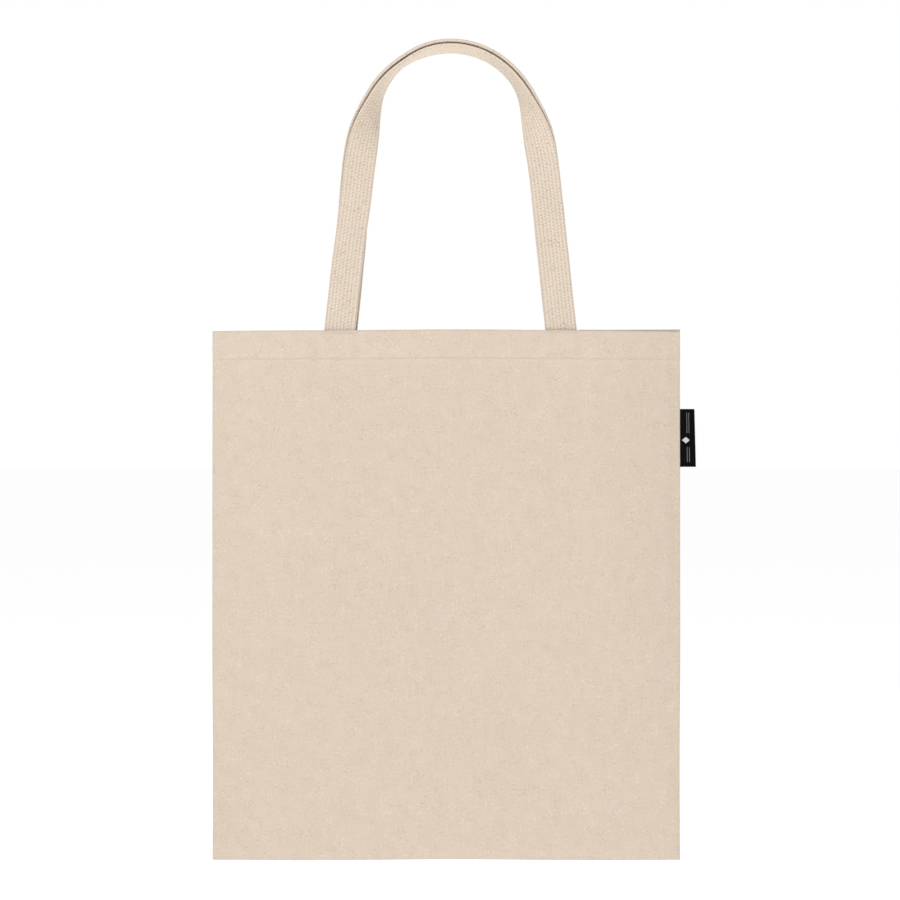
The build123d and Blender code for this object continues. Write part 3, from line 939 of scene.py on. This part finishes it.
def make_world():
    """Even white light from all round, and a white backdrop."""
    world = bpy.data.worlds.new("studio")
    world.use_nodes = True
    bpy.context.scene.world = world
    tree = world.node_tree
    light = tree.nodes["Background"]
    light.inputs["Color"].default_value = (1, 1, 1, 1)
    light.inputs["Strength"].default_value = 0.41
    backdrop = add(tree, "Background", {"Color": (1, 1, 1, 1), "Strength": 1.0})
    seen = add(tree, "LightPath").outputs["Is Camera Ray"]
    both = add(tree, "MixShader", {0: seen, 1: light.outputs[0], 2: backdrop.outputs[0]})
    tree.links.new(both.outputs[0], tree.nodes["World Output"].inputs["Surface"])


def make_floor():
    height = BOTTOM_Z - FLOOR_DROP
    turns = ((-1, -1), (1, -1), (1, 1), (-1, 1))
    corners = [(x * FLOOR_HALF, y * FLOOR_HALF, height) for x, y in turns]
    mesh = bpy.data.meshes.new("floor")
    mesh.from_pydata(corners, [], [(0, 1, 2, 3)])
    mesh.materials.append(floor_material())
    floor = bpy.data.objects.new("floor", mesh)
    bpy.context.scene.collection.objects.link(floor)


# ---- make everything ----
bpy.context.scene.view_settings.view_transform = "Standard"
make_camera()
make_world()
make_floor()
middle_z = (MOUTH_Z + BOTTOM_Z) / 2
make_light("key", (-1.1, -1.9, MOUTH_Z + 1.9), (0, 0, middle_z), 2.0, 42.2)
make_light("fill", (1.9, -2.0, middle_z), (0, 0, middle_z), 2.0, 10.2)
make_light("back", (1.2, 2.6, MOUTH_Z + 1.0), (0, 0, middle_z), 2.2, 31)

canvas = canvas_material()
webbing = webbing_material()
thread = thread_material("thread", (0.65, 0.54, 0.44, 1), (0.69, 0.58, 0.46, 1))
overlock = thread_material("overlock_thread", (0.74, 0.66, 0.55, 1), (0.78, 0.70, 0.60, 1))
black_ribbon = ribbon_material("black_ribbon", (0.001, 0.001, 0.001, 1), (0.0055, 0.0070, 0.0080, 1))
grey_ribbon = ribbon_material("grey_ribbon", (0.12, 0.125, 0.13, 1), (0.26, 0.27, 0.28, 1))
pale_ribbon = ribbon_material("pale_ribbon", (0.46, 0.48, 0.51, 1), (0.76, 0.78, 0.82, 1))

front_nodes = ["front_panel", "front_hem"]
front_nodes += [edge + "_seam_allowance" for edge in ("left", "right", "bottom")]
front_cloth = sewn_panel("front_cloth", False, front_nodes, canvas)
back_cloth = sewn_panel("back_cloth", True, ["back_panel", "back_hem"], canvas)

front_webbing = webbing_handle("front_webbing", False, ["front_handle", "front_handle_ends"], webbing)
rear_webbing = webbing_handle("rear_webbing", True, ["rear_handle", "rear_handle_ends"], webbing)

front_rows = rows_of(False)
back_rows = rows_of(True)
front_threads = [
    row_stitches("front_hem_thread", front_rows[:1], False, "front_hem_stitching", thread),
    row_stitches("front_handle_thread", front_rows[1:], False, "front_handle_stitching", thread),
]
back_threads = [
    row_stitches("back_hem_thread", back_rows[:1], True, "back_hem_stitching", thread),
    row_stitches("rear_handle_thread", back_rows[1:], True, "rear_handle_stitching", thread),
]
thread_piece("left_seam_thread", side_seam_routes(-1), "left_seam_stitching", thread)
thread_piece("right_seam_thread", side_seam_routes(1), "right_seam_stitching", thread)
thread_piece("bottom_seam_thread", bottom_seam_routes(), "bottom_seam_stitching", thread)

for edge, side in (("left", -1), ("right", 1)):
    raw = BAG_X + side * (HALF - ALLOWANCE - OVERLOCK_ROOM)
    inner = BAG_X + side * (HALF - ALLOWANCE + OVERLOCK_WIDTH)
    routes = overlock_routes(BOTTOM_Z + ALLOWANCE, MOUTH_Z - HEM, raw, inner, lambda s, x, y: (x, y, s))
    thread_piece(edge + "_overlock_thread", routes, edge + "_overlock", overlock, OVERLOCK_RADIUS)
raw = BOTTOM_Z + ALLOWANCE + OVERLOCK_ROOM
inner = BOTTOM_Z + ALLOWANCE - OVERLOCK_WIDTH
reach = HALF - ALLOWANCE
routes = overlock_routes(BAG_X - reach, BAG_X + reach, raw, inner, lambda s, z, y: (s, y, z))
thread_piece("bottom_overlock_thread", routes, "bottom_overlock", overlock, OVERLOCK_RADIUS)

ribbon_loop = side_label(black_ribbon)
marks = [label_stripes(grey_ribbon), label_lozenge(pale_ribbon)]
